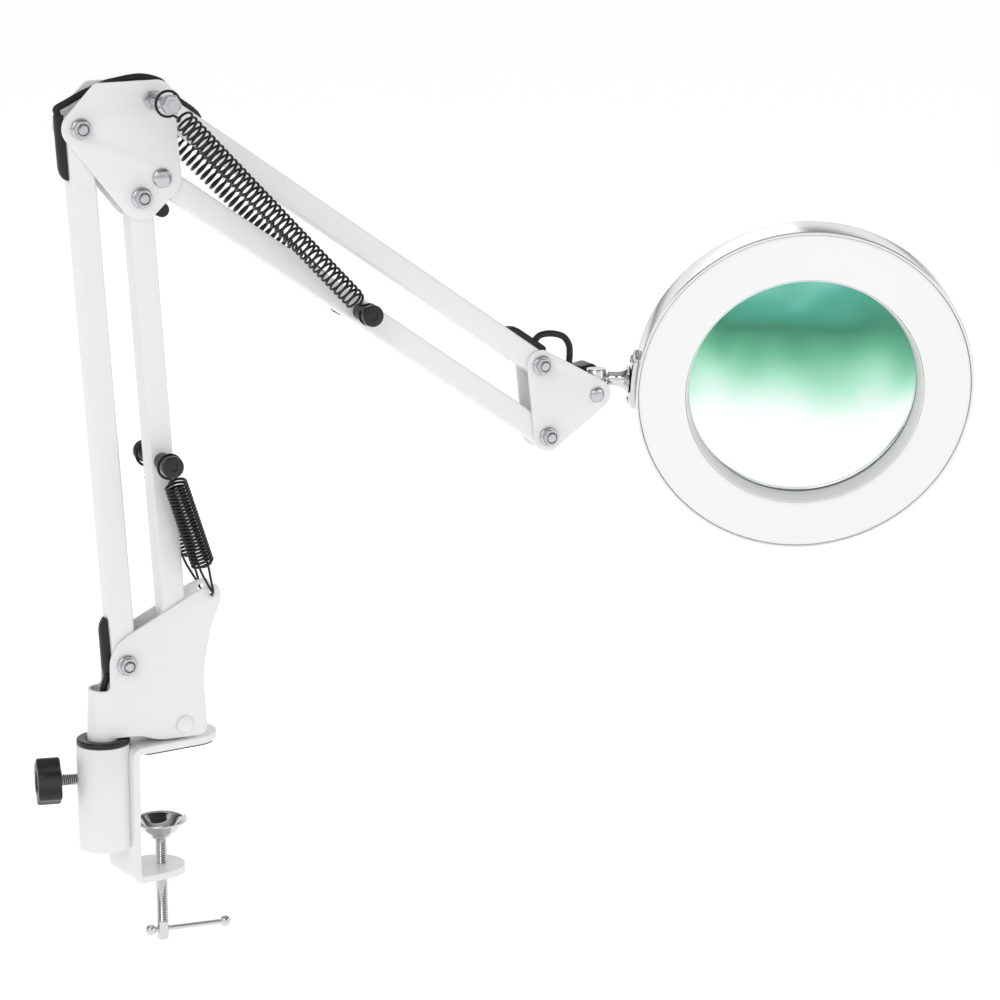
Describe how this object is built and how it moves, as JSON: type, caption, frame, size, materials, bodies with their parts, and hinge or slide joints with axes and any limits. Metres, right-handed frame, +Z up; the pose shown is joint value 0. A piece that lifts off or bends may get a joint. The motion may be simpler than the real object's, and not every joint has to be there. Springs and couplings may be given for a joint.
{
  "type": "magnifying lamp",
  "caption": "Clamp-on magnifying lamp: bench clamp, two sprung parallelogram arms of square tube, and a round ring-light head with a glass lens.",
  "frame": {"origin": "on the face of the clamp's upper pad that rests on the table top, in the arms' middle plane, 25 mm in front of the swivel post's axis", "axes": "+Z up, +X forwards from the post towards the head in the plane the arms fold in, +Y to the rear, away from the light face"},
  "size_m": [0.5042, 0.1274, 0.4487],
  "materials": {
    "white_paint": "smooth white powder coat",
    "black_plastic": "satin black moulding",
    "black_rubber": "matt black",
    "chrome": "bright plated",
    "zinc": "bright zinc plated",
    "black_spring": "blackened spring wire",
    "silver_rim": "silver-white gloss",
    "opal": "satin opal white",
    "board": "white board",
    "glass": "polished, faint green"
  },
  "bodies": {
    "clamp": {"clamp_frame": "white_paint", "sleeve_bushing": "black_plastic", "jaw_pad": "black_rubber"},
    "lock_screw_body": {"lock_screw": "zinc", "lock_knob": "black_plastic"},
    "cup": {"pressure_cup": "chrome"},
    "screw": {"clamp_screw": "chrome"},
    "bar": {"tommy_bar": "chrome"},
    "base": {"base_bracket": "white_paint", "base_bolt": "zinc", "base_nut": "zinc", "base_pin": "white_paint", "base_cable": "black_rubber"},
    "lower_left_arm": {"lower_tube_left": "white_paint", "boot_lower_bottom": "black_rubber", "boot_lower_top": "black_rubber"},
    "lower_right_arm": {"lower_tube_right": "white_paint", "lower_peg_front": "black_plastic", "lower_peg_rear": "black_plastic"},
    "lower_coils": {"lower_spring_front": "black_spring", "lower_spring_rear": "black_spring"},
    "lower_hooks": {"lower_hook_front": "black_spring", "lower_hook_rear": "black_spring"},
    "elbow": {"elbow_plate_front": "white_paint", "elbow_plate_rear": "white_paint", "elbow_bolt_left": "zinc", "elbow_nut_left": "zinc", "elbow_bolt_bottom": "zinc", "elbow_nut_bottom": "zinc", "elbow_rivet": "zinc", "spring_stud": "zinc", "elbow_stop": "black_rubber", "elbow_cable": "black_rubber"},
    "upper_bottom_arm": {"upper_tube_bottom": "white_paint", "upper_peg_front": "black_plastic", "upper_peg_rear": "black_plastic"},
    "upper_top_arm": {"upper_tube_top": "white_paint", "boot_upper_left": "black_rubber", "boot_upper_right": "black_rubber"},
    "upper_coils": {"upper_spring_front": "black_spring", "upper_spring_rear": "black_spring"},
    "upper_hooks": {"upper_hook_front": "black_spring", "upper_hook_rear": "black_spring"},
    "head_bracket": {"head_plate_front": "white_paint", "head_plate_rear": "white_paint", "head_bolt_top": "zinc", "head_nut_top": "zinc", "head_bolt_bottom": "zinc", "head_nut_bottom": "zinc", "head_cable": "black_rubber"},
    "tilt_screw": {"tilt_bolt": "zinc", "tilt_knob": "black_plastic"},
    "knuckle_body": {"knuckle": "chrome"},
    "swivel": {"swivel_block": "chrome"},
    "head": {"stem_saddle": "chrome", "head_housing": "silver_rim", "light_diffuser": "opal", "lens_ring": "silver_rim", "led_board": "board", "lens": "glass"}
  },
  "joints": [
    {"name": "base_swivel", "type": "hinge", "parent": "clamp", "child": "base", "pos_m": [-0.025, 0, 0.02], "axis": [0, 0, 1], "range_deg": [-170, 170]},
    {"name": "lock_screw_turn", "type": "hinge", "parent": "clamp", "child": "lock_screw_body", "pos_m": [-0.025, 0, -0.0117], "axis": [-0.9816, 0.1908, 0], "range_deg": [-180, 180]},
    {"name": "cup_travel", "type": "slide", "parent": "clamp", "child": "cup", "axis": [0, 0, 1], "range_m": [-0.0115, 0.0295]},
    {"name": "clamp_screw_turn", "type": "hinge", "parent": "cup", "child": "screw", "pos_m": [0.0057, 0.00431, 0], "axis": [0, 0, 1], "range_deg": [-3240, 8280]},
    {"name": "bar_slide", "type": "slide", "parent": "screw", "child": "bar", "axis": [0.9962, -0.0872, 0], "range_m": [-0.027, 0]},
    {"name": "lower_arm", "type": "hinge", "parent": "base", "child": "lower_left_arm", "pos_m": [-0.014, 0, 0.0483], "axis": [0, 1, 0], "range_deg": [-3, 45], "deforming": ["base_cable", "elbow_cable", "lower_spring_front", "lower_spring_rear", "lower_hook_front", "lower_hook_rear"]},
    {"name": "lower_right_pivot", "type": "hinge", "parent": "base", "child": "lower_right_arm", "pos_m": [0.016, 0, 0.0133], "axis": [0, 1, 0], "range_deg": [-13, 46]},
    {"name": "lower_hook_turn", "type": "hinge", "parent": "base", "child": "lower_hooks", "pos_m": [0.0315, 0, 0.0803], "axis": [0, 1, 0], "range_deg": [-26, 90]},
    {"name": "lower_coil_turn", "type": "hinge", "parent": "lower_right_arm", "child": "lower_coils", "pos_m": [0.00791, 0, 0.15106], "axis": [0, 1, 0], "range_deg": [-14, 44]},
    {"name": "elbow_pivot", "type": "hinge", "parent": "lower_left_arm", "child": "elbow", "pos_m": [-0.02989, 0, 0.31893], "axis": [0, 1, 0], "range_deg": [-46, 13]},
    {"name": "upper_arm", "type": "hinge", "parent": "elbow", "child": "upper_bottom_arm", "pos_m": [0.01086, 0, 0.29313], "axis": [0, 1, 0], "range_deg": [-40, 13], "deforming": ["elbow_cable", "head_cable", "upper_spring_front", "upper_spring_rear", "upper_hook_front", "upper_hook_rear"]},
    {"name": "upper_top_pivot", "type": "hinge", "parent": "elbow", "child": "upper_top_arm", "pos_m": [0.00686, 0, 0.33163], "axis": [0, 1, 0], "range_deg": [-41, 23]},
    {"name": "upper_coil_turn", "type": "hinge", "parent": "upper_bottom_arm", "child": "upper_coils", "pos_m": [0.11602, 0, 0.21928], "axis": [0, 1, 0], "range_deg": [-6, 10]},
    {"name": "upper_coil_stretch", "type": "slide", "parent": "upper_coils", "child": "upper_hooks", "axis": [-0.6968, 0, 0.7172], "range_m": [-0.022, 0.012]},
    {"name": "head_bracket_pivot", "type": "hinge", "parent": "upper_top_arm", "child": "head_bracket", "pos_m": [0.21767, 0, 0.18359], "axis": [0, 1, 0], "range_deg": [-23, 41]},
    {"name": "tilt_knob_turn", "type": "hinge", "parent": "head_bracket", "child": "tilt_screw", "pos_m": [0.25022, 0, 0.16534], "axis": [0, 1, 0], "range_deg": [-180, 180]},
    {"name": "head_tilt", "type": "hinge", "parent": "head_bracket", "child": "knuckle_body", "pos_m": [0.25022, 0, 0.16534], "axis": [0, 1, 0], "range_deg": [-40, 40]},
    {"name": "head_swivel", "type": "hinge", "parent": "knuckle_body", "child": "swivel", "pos_m": [0.25372, 0, 0.17264], "axis": [0, 0, 1], "range_deg": [-8, 38]},
    {"name": "head_roll", "type": "hinge", "parent": "swivel", "child": "head", "pos_m": [0.25372, 0, 0.17264], "axis": [0.9259, -0.3741, -0.0523], "range_deg": [-70, 70]}
  ],
  "couplings": [
    {"joint": "cup_travel", "follows": "clamp_screw_turn", "m_per_rad": 0.0001989},
    {"joint": "lower_right_pivot", "follows": "lower_arm", "ratio": 1},
    {"joint": "lower_hook_turn", "follows": "lower_arm", "ratio": 1.86},
    {"joint": "lower_coil_turn", "follows": "lower_arm", "ratio": 0.86},
    {"joint": "elbow_pivot", "follows": "lower_arm", "ratio": -1},
    {"joint": "upper_top_pivot", "follows": "upper_arm", "ratio": 1},
    {"joint": "upper_coil_turn", "follows": "upper_arm", "ratio": -0.16},
    {"joint": "upper_coil_stretch", "follows": "upper_arm", "m_per_rad": 0.027},
    {"joint": "head_bracket_pivot", "follows": "upper_arm", "ratio": -1}
  ]
}
